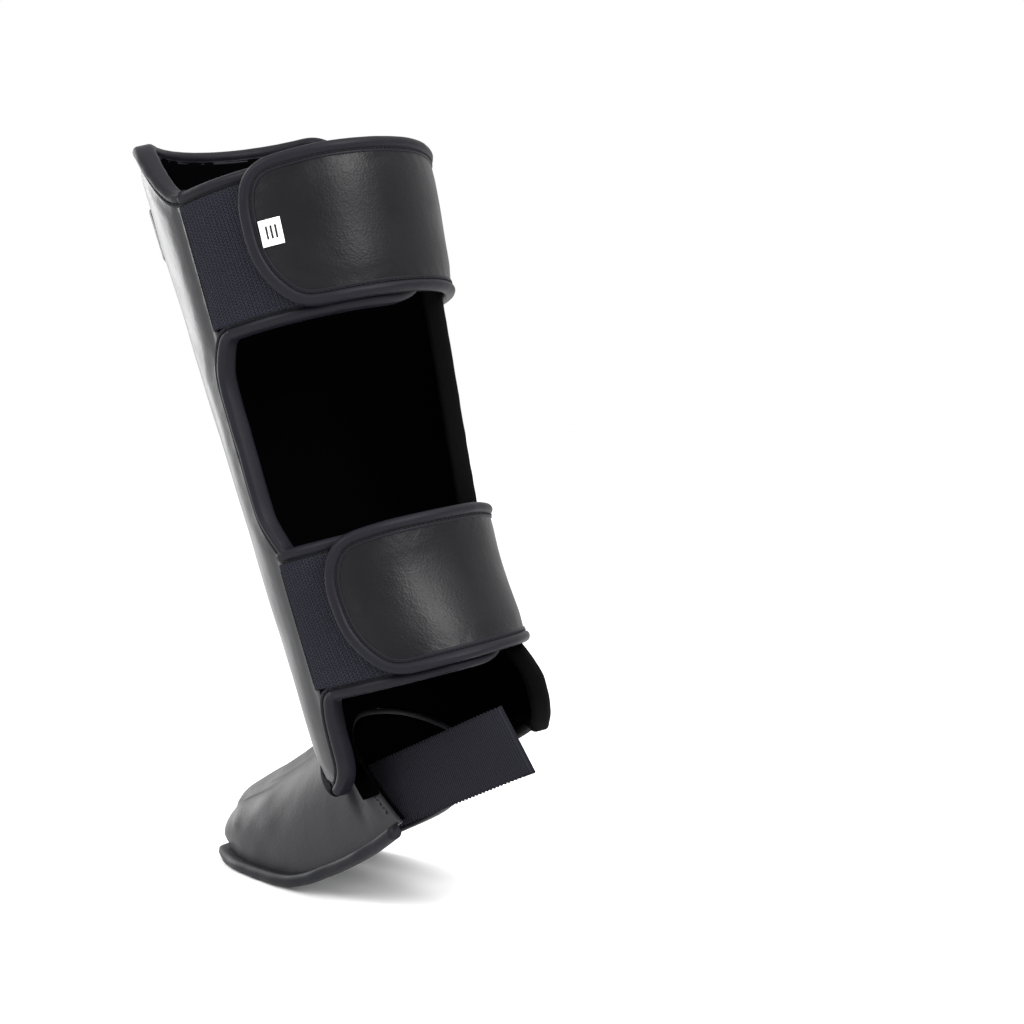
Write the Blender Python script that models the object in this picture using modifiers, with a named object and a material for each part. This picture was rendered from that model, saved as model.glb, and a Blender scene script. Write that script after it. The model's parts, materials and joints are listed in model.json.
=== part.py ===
"""Shin-and-instep guard: a padded shin shell with two calf wings, two hook-and-loop straps, a hinged
instep guard and an elastic heel loop.

Axes: +Z up, the toes point to -Y, the wearer's calf is to +Y and the wings are on the +X side.
The shin shell is laid out on a leaning axis: s runs up that axis, theta runs round it, 0 at the front
and growing towards +X, and offset is measured outwards from the shell's leather face.
Lengths in this file are millimetres until metres() turns them into Blender's unit.
"""

import math

import bpy
from mathutils import Vector

# ---- driving dimensions, mm and degrees ------------------------------------------------------------
LEAN = 12.8                        # the shin axis leans forward by this much
TILT = 7.4                         # and the whole guard leans sideways, towards +X
AXIS_FOOT = (-28.1, 40.2, 70.4)    # where the shin axis starts, at s = 0
SHELL_LENGTH = 388.0               # the length over which the widths below change
HALF_WIDTH = (61.0, 79.0)          # of the leather face, at s = 0 and at SHELL_LENGTH
FRONT_DEPTH = (43.0, 73.0)
REAR_DEPTH = (39.0, 83.0)
HEEL_WIDENING = 32.0               # extra rear depth at the bottom, over the heel tendon
FLARE_START = 72.0                # below this s the far panel opens towards the calf
FLARE_LENGTH = 34.0               # and it is fully open this much lower
FLARE_DEPTH = 10.0
FLARE_SIDE = 2.0                   # it opens sideways by this much
CREST_TOP = 375.0                  # s of the shell's top edge at its front
GAP = 0.5                          # between neighbouring layers
BINDING_GAP = 1.1                  # between a wall's edge and its binding
WING_GAP = 1.5                     # and the same on the wings, whose tips curve both ways
CORE_SLACK = 0.9                   # the foam core is this much thinner than the space it fills
LEATHER = 1.2
PAD_EDGE = 8.0                     # thickness of the padded wall at its edges
PAD_FRONT = 14.0                   # and over the shin bone
BINDING_RADIUS = 3.9
STRAP = 4.0
STRAP_OFFSET = 8.0                 # outer face of the straps
HOOK = 1.5
STRAP_BINDING_RADIUS = 2.7
NEAR_SEAM = 93.5                   # theta where the wings fold away from the shell
FAR_ROOT = 264.0                   # theta of the straps' sewn roots, on the far side
FAR_EDGE = 127.0                   # theta of the shell's far edge, as a positive angle
FAR_WAIST = 9.0                    # it steps back by this much between the straps
FAR_FOOT = 9.0                     # goes further round below the lower strap
FAR_CORNER = 30.0                  # and rounds off by this much at the bottom
ANCHOR_SPAN = (-112.0, -96.0)      # theta of the patches that hold the straps' roots
PATCH_SPAN = 54.0                  # raised front patch: theta either side of the front
PATCH_MIDDLE = 333.0               # s of its middle
PATCH_HEIGHT = 27.0                # half its height
RAISE = 3.4                        # of the front patch and the instep's ridge above the leather
HINGE_SPAN = 38.0                  # hinge strip: theta either side of the front
HINGE_HEIGHT = (70.0, 96.0)        # and its s
LABEL_SPAN = (130.6, 138.2)        # theta of the size tab
LABEL_HEIGHT = (297.0, 310.0)      # and its s
LABEL = 0.5                        # thickness of the tab
WING_TIP = 206.0
TIP_LENGTH = 26.0                  # degrees of theta over which a wing tip rounds off
TIP_POWER = 0.84                   # 1 is an ellipse, less is squarer
INSTEP_PAD = 7.0
LINING_START = 0.14                # the instep lining begins this share of the way from the toe
RIM_RADIUS = 3.4
RIM_DROP = 5.6                     # the rim tube lies this far below the leather's edge
RIM_FLAT = 1.1                     # height pressed flat where the rim stands on the floor
ELASTIC = 1.6
TUBE_SIDES = 2                     # bevel_resolution of the bindings

UPPER = {"wing": (266.0, 333.0), "strap": (268.0, 336.5)}
LOWER = {"wing": (64.0, 132.0), "strap": (67.0, 134.0)}

# Instep stations from the toe to the heel: middle x, rim half width, rim y, rim z, crest y, crest z,
# with x and y measured from the shin axis's foot.
INSTEP_STATIONS = (
    (-9.0, 28.8, -162.4, 7.9, -170.9, 22.0),
    (-9.2, 36.7, -148.4, 7.9, -161.8, 33.0),
    (-8.7, 43.2, -128.5, 7.9, -145.9, 45.0),
    (-8.1, 47.6, -99.5, 7.9, -119.8, 58.0),
    (-7.6, 50.1, -58.0, 7.9, -89.6, 73.0),
    (-6.5, 49.5, -25.0, 9.0, -62.0, 91.0),
    (-4.6, 47.1, 3.0, 32.0, -50.0, 99.0),
    (-2.7, 45.6, 25.9, 52.5, -42.0, 104.0),
)
CREST_SHIFT = 9.0                  # the crest lies this far to the +X side of the rim's middle
FAR_RISE = 25.0                    # the far flap's rim is this much higher than the near one's
FAR_PULL = 12.0                    # and the far flap ends this much nearer the toe
ANKLE_PIVOT = (6.4, -25.3, 119.7)  # x and y from the axis's foot, like the stations
# Heel loop, (y, z) from the axis's foot in the sideways-leaning frame: lower and upper corner.
HEEL_SEAM = ((2.0, -23.5), (-18.0, 9.5))
HEEL_FOLD = ((88.0, 13.0), (66.0, 46.5))
HEEL_SPREAD = (33.0, 24.0)         # half the gap between the plies at the seam, lower and upper edge
HEEL_FOLD_RADIUS = 2.2
HEEL_TUCK = 0.06                   # share of each ply that is sewn inside the instep

LEATHER_BLACK = ((0.035, 0.036, 0.040), 0.42)
BINDING_GREY = ((0.055, 0.056, 0.064), 0.48)
LINING_BLACK = ((0.004, 0.004, 0.005), 0.9)
FOAM_GREY = ((0.16, 0.16, 0.17), 0.95)
LOOP_BLACK = ((0.012, 0.013, 0.018), 0.95)
WEBBING_BLACK = ((0.018, 0.018, 0.021), 0.85)
LABEL_WHITE = ((0.85, 0.85, 0.84), 0.6)


def metres(x, y, z):
    return Vector((x, y, z)) * 0.001


def mix(a, b, t):
    return a + (b - a) * t


def smooth(t):
    t = min(max(t, 0.0), 1.0)
    return t * t * (3.0 - 2.0 * t)


# ---- the leaning shell -----------------------------------------------------------------------------
def leaning(x, y, z):
    """World metres of a point given from the axis's foot in the frame that leans sideways."""
    tilt = math.radians(TILT)
    return metres(
        AXIS_FOOT[0] + x * math.cos(tilt) + z * math.sin(tilt),
        AXIS_FOOT[1] + y,
        AXIS_FOOT[2] + z * math.cos(tilt) - x * math.sin(tilt),
    )


def ring_point(theta, s, offset=0.0):
    """A point offset outwards from the leather face of the shell, in world metres."""
    t = s / SHELL_LENGTH
    width, front, rear = mix(*HALF_WIDTH, t), mix(*FRONT_DEPTH, t), mix(*REAR_DEPTH, t)
    rear += HEEL_WIDENING * smooth((130.0 - s) / 110.0)
    angle = math.radians(theta)
    sin, cos = math.sin(angle), math.cos(angle)
    depth = front if cos > 0.0 else rear
    normal = Vector((depth * sin, -width * cos)).normalized()
    x, y = width * sin + normal.x * offset, -depth * cos + normal.y * offset
    if theta < -90.0:
        opened = smooth((FLARE_START - s) / FLARE_LENGTH) * smooth((-90.0 - theta) / 34.0)
        x -= FLARE_SIDE * opened
        y += FLARE_DEPTH * opened
    lean = math.radians(LEAN)
    return leaning(
        x,
        y * math.cos(lean) - s * math.sin(lean),
        y * math.sin(lean) + s * math.cos(lean),
    )


def near_edge(s):
    """Theta of the shell's near edge: flush with the wings, hollowed between and below them."""
    between = smooth((262.0 - s) / 22.0) * smooth((s - 138.0) / 22.0)
    return NEAR_SEAM - 1.0 - 9.5 * between - 2.0 * smooth((58.0 - s) / 20.0)


def far_edge(s):
    """Theta, as a positive angle, of the shell's far edge."""
    waist = smooth((250.0 - s) / 60.0) * smooth((s - 90.0) / 50.0)
    foot = smooth((78.0 - s) / 34.0)
    corner = max(0.0, (46.0 - s) / 38.0) ** 2.0
    return FAR_EDGE - FAR_WAIST * waist + FAR_FOOT * foot - FAR_CORNER * corner


def shell_top(theta):
    return CREST_TOP - 41.0 * smooth((abs(theta) - 52.0) / 42.0)


def shell_bottom(theta):
    return 12.0 + 46.0 * (1.0 - smooth(abs(theta) / 82.0))


def shell_outline(u, v):
    """Grid position to (theta, s) on the shell, both running from 0 to 1."""
    s = 20.0 + (CREST_TOP - 42.0) * v
    theta = mix(-far_edge(s), near_edge(s), u)
    s = mix(shell_bottom(theta), shell_top(theta), v)
    return mix(-far_edge(s), near_edge(s), u), s


def pad_thickness(theta):
    return PAD_EDGE + (PAD_FRONT - PAD_EDGE) * (1.0 - smooth(abs(theta) / 85.0))


# ---- materials and builders ------------------------------------------------------------------------
def make_material(name, look):
    colour, roughness = look
    material = bpy.data.materials.new(name)
    material.use_nodes = True
    shader = material.node_tree.nodes["Principled BSDF"]
    shader.inputs["Base Color"].default_value = (*colour, 1.0)
    shader.inputs["Roughness"].default_value = roughness
    shader.inputs["Metallic"].default_value = 0.0
    return material


def place(obj, collection, material, parent):
    for owner in list(obj.users_collection):
        owner.objects.unlink(obj)
    collection.objects.link(obj)
    obj.data.materials.append(material)
    if parent is not None:
        obj.parent = parent
        obj.matrix_parent_inverse = parent.matrix_world.inverted()
    return obj


def make_sheet(name, columns, rows, surface, thickness, thin=None, even=True):
    """An open grid laid on surface(u, v), thickened inwards. thin(u, v) scales the thickness."""
    bpy.ops.mesh.primitive_grid_add(x_subdivisions=columns, y_subdivisions=rows, size=2.0)
    obj = bpy.context.object
    obj.name = obj.data.name = name
    group = obj.vertex_groups.new(name="thickness") if thin else None
    for vertex in obj.data.vertices:
        u, v = (vertex.co.x + 1.0) / 2.0, (vertex.co.y + 1.0) / 2.0
        vertex.co = surface(u, v)
        if thin:
            group.add([vertex.index], thin(u, v), "REPLACE")
    solidify = obj.modifiers.new("wall", "SOLIDIFY")
    solidify.thickness = thickness * 0.001
    solidify.offset = -1.0
    solidify.use_even_offset = even
    if thin:
        solidify.vertex_group = group.name
    obj.data.shade_smooth()
    return obj


def make_tube(name, points, radius, closed=False):
    """A round bound edge along points."""
    curve = bpy.data.curves.new(name, "CURVE")
    curve.dimensions = "3D"
    curve.bevel_depth = radius * 0.001
    curve.bevel_resolution = TUBE_SIDES
    curve.use_fill_caps = not closed
    spline = curve.splines.new("POLY")
    spline.points.add(len(points) - 1)
    for target, point in zip(spline.points, points):
        target.co = (*point, 1.0)
    spline.use_cyclic_u = closed
    obj = bpy.data.objects.new(name, curve)
    bpy.context.scene.collection.objects.link(obj)
    return obj


def flattened(tube):
    """The tube as a mesh whose part below z = 0 is pressed flat."""
    mesh = bpy.data.meshes.new_from_object(tube)
    for vertex in mesh.vertices:
        vertex.co.z = max(vertex.co.z, 0.0)
    mesh.shade_smooth()
    name = tube.name
    bpy.data.objects.remove(tube, do_unlink=True)
    obj = bpy.data.objects.new(name, mesh)
    bpy.context.scene.collection.objects.link(obj)
    return obj


def even_path(function, count):
    """count points along function(0..1), evenly spaced by length."""
    fine = [function(i / 400.0) for i in range(401)]
    lengths = [0.0]
    for a, b in zip(fine, fine[1:]):
        lengths.append(lengths[-1] + (b - a).length)
    points, j = [], 0
    for i in range(count):
        want = lengths[-1] * i / (count - 1)
        while j < 399 and lengths[j + 1] < want:
            j += 1
        span = lengths[j + 1] - lengths[j] or 1.0
        points.append(fine[j].lerp(fine[j + 1], (want - lengths[j]) / span))
    return points


def bound_edge(edge, distance, offset, count, closed=False):
    """count points beside an edge given as (theta, s) pairs, this far to its right, offset(theta) out."""
    radius = [mix(*HALF_WIDTH, s / SHELL_LENGTH) for _, s in edge]
    flat = [Vector((math.radians(theta) * r, s)) for (theta, s), r in zip(edge, radius)]
    moved = []
    for i, point in enumerate(flat):
        before, after = flat[max(i - 1, 0)], flat[min(i + 1, len(flat) - 1)]
        along = (after - before).normalized()
        moved.append(point + Vector((along.y, -along.x)) * distance)

    def path(t):
        x = t * (len(moved) - 1)
        i = min(int(x), len(moved) - 2)
        point = moved[i].lerp(moved[i + 1], x - i)
        theta = math.degrees(point.x / mix(radius[i], radius[i + 1], x - i))
        return ring_point(theta, point.y, offset(theta))

    return even_path(path, count)


def run(function, start, stop, count):
    """function at count values from start to stop."""
    return [function(mix(start, stop, i / (count - 1))) for i in range(count)]


# ---- shin shell ------------------------------------------------------------------------------------
def shell_sheet(name, outer, thickness, inset, thin=None):
    """A layer of the shell whose outer face is outer(theta) outside the leather face."""
    def surface(u, v):
        theta, s = shell_outline(mix(inset, 1.0 - inset, u), mix(inset, 1.0 - inset, v))
        return ring_point(theta, s, outer(theta))
    return make_sheet(name, 17, 18, surface, thickness, thin)


def build_shell(collection, paint):
    cover = shell_sheet("shin_cover", lambda theta: 0.0, LEATHER, 0.0)
    place(cover, collection, paint["leather"], None)

    core_outer = LEATHER + CORE_SLACK
    core_full = PAD_FRONT - 2.0 * core_outer

    def core_thin(u, v):
        theta, _ = shell_outline(u, v)
        return (pad_thickness(theta) - 2.0 * core_outer - CORE_SLACK) / core_full

    core = shell_sheet("shin_foam_core", lambda theta: -core_outer, core_full, 0.012, core_thin)
    place(core, collection, paint["foam"], None)
    lining = shell_sheet("shin_lining", lambda theta: LEATHER - pad_thickness(theta), LEATHER, 0.0)
    place(lining, collection, paint["lining"], None)

    reach = BINDING_RADIUS + BINDING_GAP

    def middle(theta):
        return -pad_thickness(theta) / 2.0

    def near(s):
        return near_edge(s), s

    def far(s):
        return -far_edge(s), s

    top_near, top_far = near_edge(340.0) - 2.5, 1.0 - far_edge(340.0)
    bottom_near, bottom_far = near_edge(12.0), 8.0 - far_edge(14.0)
    edges = (
        ("shin_top_binding", run(lambda x: (x, shell_top(x)), top_near, top_far, 60), 30),
        ("shin_bottom_binding", run(lambda x: (x, shell_bottom(x)), bottom_far, bottom_near, 50), 24),
        ("shin_near_binding_middle", run(near, 141.0, 257.0, 30), 14),
        ("shin_near_binding_lower", run(near, 14.0, 53.0, 10), 6),
        ("shin_far_binding", run(far, 325.0, 20.0, 60), 28),
    )
    for name, edge, count in edges:
        tube = make_tube(name, bound_edge(edge, reach, middle, count), BINDING_RADIUS)
        place(tube, collection, paint["binding"], None)

    def patch(u, v):
        across, up = 2.0 * u - 1.0, 2.0 * v - 1.0
        reach_up = math.sqrt(1.0 - 0.75 * across * across)
        return ring_point(PATCH_SPAN * across, PATCH_MIDDLE + PATCH_HEIGHT * up * reach_up, RAISE)

    badge = make_sheet("front_raised_patch", 12, 6, patch, RAISE - GAP)
    place(badge, collection, paint["leather"], None)

    for name, (low, high) in (("upper", UPPER["strap"]), ("lower", LOWER["strap"])):
        def anchor(u, v, low=low, high=high):
            return ring_point(mix(*ANCHOR_SPAN, u), mix(low, high, v), STRAP_OFFSET - STRAP - GAP)
        pad = make_sheet(name + "_strap_anchor", 4, 8, anchor, STRAP_OFFSET - STRAP - 2.0 * GAP)
        place(pad, collection, paint["leather"], None)

    def hinge_strip(u, v):
        theta, s = mix(-HINGE_SPAN, HINGE_SPAN, u), mix(*HINGE_HEIGHT, v)
        return ring_point(theta, s, -pad_thickness(theta) - GAP)

    strip = make_sheet("ankle_hinge_strip", 8, 3, hinge_strip, 1.0)
    place(strip, collection, paint["webbing"], None)


# ---- wings and straps ------------------------------------------------------------------------------
def tip_shape(w):
    """Half height of a rounded tip, from 1 where it starts to nearly 0 at its end."""
    return (1.0 - (0.97 * w) ** (2.0 / TIP_POWER)) ** (TIP_POWER / 2.0)


def tip_edge(low, high, turn):
    """A point of the wing's rounded tip, turn degrees from its middle."""
    sin, cos = math.sin(math.radians(turn)), math.cos(math.radians(turn))
    theta = WING_TIP - TIP_LENGTH + TIP_LENGTH * cos ** TIP_POWER / 0.97
    return theta, (low + high) / 2.0 + (high - low) / 2.0 * math.copysign(abs(sin) ** TIP_POWER, sin)


def wing_outline(low, high, u, v):
    theta = mix(NEAR_SEAM + 0.8, WING_TIP, u)
    start = WING_TIP - TIP_LENGTH
    half = (high - low) / 2.0
    if theta > start:
        half *= tip_shape((theta - start) / (WING_TIP - start))
    return theta, (low + high) / 2.0 + half * (2.0 * v - 1.0)


def build_wing(level, span, collection, paint, parent):
    low, high = span

    def panel(u, v):
        theta, s = wing_outline(low, high, u, v)
        return ring_point(theta, s, 0.0)

    def patch(u, v):
        return ring_point(mix(NEAR_SEAM + 1.2, 186.0, u), mix(low + 1.0, high - 1.0, v), 1.4 + GAP / 2.0)

    first = NEAR_SEAM + 4.6
    edge = run(lambda theta: (theta, low), first, WING_TIP - TIP_LENGTH, 20)
    edge += [tip_edge(low, high, turn) for turn in run(lambda x: x, -88.0, 88.0, 30)]
    edge += run(lambda theta: (theta, high), WING_TIP - TIP_LENGTH, first, 20)
    rim = bound_edge(edge, BINDING_RADIUS + WING_GAP, lambda theta: -PAD_EDGE / 2.0, 36)

    sheet = make_sheet(level + "_wing_panel", 18, 7, panel, PAD_EDGE)
    place(sheet, collection, paint["lining"], parent)
    loop = make_sheet(level + "_loop_patch", 14, 5, patch, 1.4 - GAP / 2.0)
    place(loop, collection, paint["loop"], parent)
    tube = make_tube(level + "_wing_binding", rim, BINDING_RADIUS)
    place(tube, collection, paint["binding"], parent)


def upper_end(s):
    return 128.4 + 13.0 * max(0.0, (306.0 - s) / 38.0) ** 2.5 + 8.0 * max(0.0, (s - 316.0) / 24.0) ** 2.3


def lower_end(s):
    return 126.8 + 12.0 * max(0.0, (102.0 - s) / 35.0) ** 2.4 + 8.0 * max(0.0, (s - 110.0) / 24.0) ** 2.3


def build_strap(level, span, end, collection, paint, parent):
    low, high = span

    def height(theta, v):
        rise = 2.0 * smooth((theta - 130.0) / 30.0) * (1.0 - smooth((theta - 200.0) / 40.0))
        return mix(low, high + rise, v)

    def panel(u, v):
        s = mix(low, high, v)
        theta = mix(end(s), FAR_ROOT, u)
        return ring_point(theta, height(theta, v), STRAP_OFFSET)

    def hook(u, v):
        s = mix(low + 8.0, high - 8.0, v)
        theta = mix(end(s) + 3.0, 176.0, u)
        return ring_point(theta, s, STRAP_OFFSET - STRAP - GAP)

    edge = run(lambda theta: (theta, height(theta, 1.0)), FAR_ROOT - 1.0, end(high), 40)
    edge += run(lambda s: (end(s), s), high - 1.0, low + 1.0, 40)
    edge += run(lambda theta: (theta, height(theta, 0.0)), end(low), FAR_ROOT - 1.0, 40)
    middle = STRAP_OFFSET - STRAP / 2.0
    rim = bound_edge(edge, STRAP_BINDING_RADIUS + BINDING_GAP + 0.5, lambda theta: middle, 40)

    sheet = make_sheet(level + "_strap_panel", 18, 8, panel, STRAP)
    place(sheet, collection, paint["leather"], parent)
    patch = make_sheet(level + "_hook_patch", 8, 6, hook, HOOK)
    place(patch, collection, paint["loop"], parent)
    tube = make_tube(level + "_strap_binding", rim, STRAP_BINDING_RADIUS)
    place(tube, collection, paint["binding"], parent)


def build_label(collection, paint, parent):
    def surface(u, v):
        return ring_point(mix(*LABEL_SPAN, u), mix(*LABEL_HEIGHT, v), STRAP_OFFSET + GAP + LABEL)
    label = make_sheet("size_label", 3, 3, surface, LABEL)
    place(label, collection, paint["label"], parent)


# ---- instep guard ----------------------------------------------------------------------------------
def station(v):
    """The instep's rim and crest values at v, 0 at the toe and 1 at the heel, on a smooth curve."""
    last = len(INSTEP_STATIONS) - 1
    x = min(max(v, 0.0), 1.0) * last
    i = min(int(x), last - 1)
    f = x - i
    before, after = max(i - 1, 0), min(i + 2, last)
    values = zip(*(INSTEP_STATIONS[k] for k in (before, i, i + 1, after)))
    return [
        b + 0.5 * f * (c - a + f * (2.0 * a - 5.0 * b + 4.0 * c - d + f * (3.0 * (b - c) + d - a)))
        for a, b, c, d in values
    ]


def rim_height(rim_z, v, across):
    """Height of the rim, across being 1 on the near side and -1 on the far side."""
    return rim_z + FAR_RISE * smooth((v - 0.5) / 0.35) * smooth(0.5 - across)


def rim_place(rim_y, v, across):
    """The rim's y, across as in rim_height."""
    return rim_y - FAR_PULL * smooth((v - 0.5) / 0.45) * smooth(0.5 - across)


def instep_centre(u, v):
    middle, half, rim_y, rim_z, crest_y, crest_z = station(v)
    turn = math.pi * (1.0 - u)
    across, rise = math.cos(turn), max(math.sin(turn), 0.0)
    across = math.copysign(abs(across) ** 0.88, across)
    rise **= 0.92
    return metres(
        AXIS_FOOT[0] + middle + half * across + CREST_SHIFT * rise,
        AXIS_FOOT[1] + mix(rim_place(rim_y, v, across), crest_y, rise),
        mix(rim_height(rim_z, v, across), crest_z, rise),
    )


def instep_point(u, v, offset):
    """A point offset outwards from the instep's leather face."""
    step = 0.004
    along = instep_centre(u, min(v + step, 1.0)) - instep_centre(u, max(v - step, 0.0))
    over = instep_centre(min(u + step, 1.0), v) - instep_centre(max(u - step, 0.0), v)
    normal = over.cross(along).normalized()
    return instep_centre(u, v) + normal * (offset * 0.001)


def build_instep(collection, paint, parent):
    def layer(offset, inset, toe=0.0):
        def surface(u, v):
            return instep_point(mix(inset, 1.0 - inset, u), mix(max(inset, toe), 1.0 - inset, v), offset)
        return surface

    pad_offset = -LEATHER - GAP
    pad = INSTEP_PAD - 2.0 * LEATHER - GAP - 2.0 * CORE_SLACK
    cover = make_sheet("instep_cover", 17, 12, layer(0.0, 0.0), LEATHER)
    place(cover, collection, paint["leather"], parent)
    core = make_sheet("instep_foam_core", 17, 12, layer(pad_offset, 0.004), pad, even=False)
    place(core, collection, paint["foam"], parent)
    lining = make_sheet("instep_lining", 17, 12, layer(-INSTEP_PAD, 0.004, LINING_START), LEATHER)
    place(lining, collection, paint["lining"], parent)

    def ridge(u, v):
        along = mix(0.12, 0.66, v)
        half = 0.115 * math.sqrt(max(1.0 - (2.0 * v - 1.0) ** 6, 0.0)) + 0.02
        return instep_point(0.5 + half * (2.0 * u - 1.0), along, RAISE + GAP)

    pad = make_sheet("instep_ridge_pad", 8, 14, ridge, RAISE - GAP)
    place(pad, collection, paint["leather"], parent)

    def rim(t):
        inwards = INSTEP_PAD / 2.0
        if abs(t - 0.5) > 0.08:
            v, side = (abs(t - 0.5) - 0.08) / 0.42, math.copysign(1.0, 0.5 - t)
            middle, half, y, z, _, _ = station(v)
            across = middle + side * (half - inwards)
            point = Vector((across, rim_place(y, v, side), rim_height(z, v, side)))
        else:
            middle, half, y, z, tip, _ = station(0.0)
            turn = math.pi * (t - 0.42) / 0.16
            point = Vector((middle + (half - inwards) * math.cos(turn), y, z))
            point.y -= (y - tip - inwards) * math.sin(turn)
        point.z = max(point.z - RIM_DROP, RIM_RADIUS - RIM_FLAT)
        return metres(AXIS_FOOT[0] + point.x, AXIS_FOOT[1] + point.y, point.z)

    tube = make_tube("instep_rim_binding", even_path(rim, 46), RIM_RADIUS)
    place(flattened(tube), collection, paint["binding"], parent)


def heel_point(side, along, across):
    """On the elastic: along runs from the seam to the fold, across from its lower to its upper edge."""
    (seam_low, seam_high), (fold_low, fold_high) = HEEL_SEAM, HEEL_FOLD
    seam_y, seam_z = mix(seam_low[0], seam_high[0], across), mix(seam_low[1], seam_high[1], across)
    fold_y, fold_z = mix(fold_low[0], fold_high[0], across), mix(fold_low[1], fold_high[1], across)
    spread = mix(*HEEL_SPREAD, across)
    half = spread * (1.0 - max(along, 0.0)) ** 0.92 + HEEL_FOLD_RADIUS * math.sqrt(1.0 - along ** 6)
    return leaning(side * half, mix(seam_y, fold_y, along), mix(seam_z, fold_z, along))


def build_heel_loop(collection, paint, parent):
    def band(u, v):
        side = 1.0 if u > 0.5 else -1.0
        along = 1.0 - abs(2.0 * u - 1.0)
        return heel_point(side, mix(-HEEL_TUCK, 1.0, along), v)

    loop = make_sheet("heel_elastic", 24, 4, band, ELASTIC)
    place(loop, collection, paint["webbing"], parent)


def main():
    for old in list(bpy.data.objects):
        bpy.data.objects.remove(old, do_unlink=True)
    collection = bpy.data.collections.new("shin_guard")
    bpy.context.scene.collection.children.link(collection)
    paint = {
        "leather": make_material("leather", LEATHER_BLACK),
        "binding": make_material("binding", BINDING_GREY),
        "lining": make_material("lining", LINING_BLACK),
        "foam": make_material("foam", FOAM_GREY),
        "loop": make_material("loop", LOOP_BLACK),
        "webbing": make_material("webbing", WEBBING_BLACK),
        "label": make_material("label", LABEL_WHITE),
    }
    build_shell(collection, paint)

    def axis_empty(name, location):
        empty = bpy.data.objects.new(name, None)
        collection.objects.link(empty)
        empty.location = location
        bpy.context.view_layer.update()
        return empty

    for level, sizes, end in (("upper", UPPER, upper_end), ("lower", LOWER, lower_end)):
        middle = sum(sizes["wing"]) / 2.0
        wing = axis_empty(level + "_wing_axis", ring_point(NEAR_SEAM, middle, 0.0))
        build_wing(level, sizes["wing"], collection, paint, wing)
        strap = axis_empty(level + "_strap_axis", ring_point(FAR_ROOT, middle, STRAP_OFFSET))
        build_strap(level, sizes["strap"], end, collection, paint, strap)
        if level == "upper":
            build_label(collection, paint, strap)

    ankle = axis_empty(
        "ankle_axis",
        metres(AXIS_FOOT[0] + ANKLE_PIVOT[0], AXIS_FOOT[1] + ANKLE_PIVOT[1], ANKLE_PIVOT[2]),
    )
    build_instep(collection, paint, ankle)
    heel = axis_empty("heel_axis", heel_point(0.0, 0.0, 0.5))
    build_heel_loop(collection, paint, heel)


main()
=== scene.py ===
import json
import math

import bpy
import numpy as np
from mathutils import Matrix, Vector


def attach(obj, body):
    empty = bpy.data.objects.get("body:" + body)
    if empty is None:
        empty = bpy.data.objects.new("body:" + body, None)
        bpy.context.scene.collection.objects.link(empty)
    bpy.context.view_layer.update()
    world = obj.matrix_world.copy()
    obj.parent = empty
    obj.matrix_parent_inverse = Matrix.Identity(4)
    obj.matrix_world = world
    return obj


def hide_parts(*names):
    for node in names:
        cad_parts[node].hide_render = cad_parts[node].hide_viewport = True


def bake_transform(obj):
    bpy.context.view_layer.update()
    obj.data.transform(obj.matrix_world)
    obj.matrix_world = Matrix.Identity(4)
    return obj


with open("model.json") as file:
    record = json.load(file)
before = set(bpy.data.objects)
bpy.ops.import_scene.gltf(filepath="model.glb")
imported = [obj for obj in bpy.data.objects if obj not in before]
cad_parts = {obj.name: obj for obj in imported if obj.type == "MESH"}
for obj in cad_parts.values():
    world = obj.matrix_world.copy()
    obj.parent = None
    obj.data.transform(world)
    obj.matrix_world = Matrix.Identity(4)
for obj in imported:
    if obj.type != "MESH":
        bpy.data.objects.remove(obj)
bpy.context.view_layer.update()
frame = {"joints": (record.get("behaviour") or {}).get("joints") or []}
JOINTS = {joint["name"]: Vector(joint["pos_m"]) for joint in frame["joints"]}

# ---- the shin shell's leaning frame, mm and degrees --------------------------------------------------
# s runs up the leaning axis, theta runs round it (0 at the front, growing towards +X, the wings and
# straps go on past 180), and offset is measured outwards from the leather face.
LEAN, TILT = math.radians(12.8), math.radians(7.4)
FOOT = np.array(JOINTS["ankle_flex"]) * 1000.0 + (-6.4, 25.3, -49.3)
SHELL_LENGTH = 388.0
HALF_WIDTH = (61.0, 79.0)
FRONT_DEPTH = (43.0, 73.0)
REAR_DEPTH = (39.0, 83.0)
HEEL_WIDENING = 32.0
FLARE_START, FLARE_LENGTH, FLARE_DEPTH, FLARE_SIDE = 72.0, 34.0, 10.0, 2.0
CREST_TOP = 375.0
PAD_EDGE, PAD_FRONT = 8.0, 14.0
NEAR_SEAM, FAR_ROOT = 93.5, 264.0
WING_TIP, TIP_LENGTH, TIP_POWER = 206.0, 26.0, 0.84
STRAP, STRAP_OFFSET = 4.0, 8.0        # a strap's thickness, and the offset of its outer face
FAR_EDGE, FAR_WAIST, FAR_FOOT, FAR_CORNER = 127.0, 9.0, 9.0, 30.0   # theta of the far edge and its changes
CREST_DROP = 41.0
WINGS = {"upper": (266.0, 333.0), "lower": (64.0, 132.0)}
STRAPS = {"upper": (268.0, 336.5), "lower": (67.0, 134.0)}
BODY_START = 102.0                 # theta where a wing's own binding takes over from the shell's
SHELL_REACH, STRAP_REACH = 8.9, 7.0   # how far a binding reaches past its panel's edge
# A strap's end: s where its lower and its upper corner start to round, theta of its middle, and the lower
# corner's height, depth and power.
STRAP_TIPS = {
    "upper": (306.0, 316.0, 128.4, 38.0, 13.0, 2.5),
    "lower": (102.0, 110.0, 126.8, 35.0, 12.0, 2.4),
}


def mix(a, b, t):
    return a + (b - a) * t


def smooth(t):
    t = np.clip(t, 0.0, 1.0)
    return t * t * (3.0 - 2.0 * t)


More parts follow.
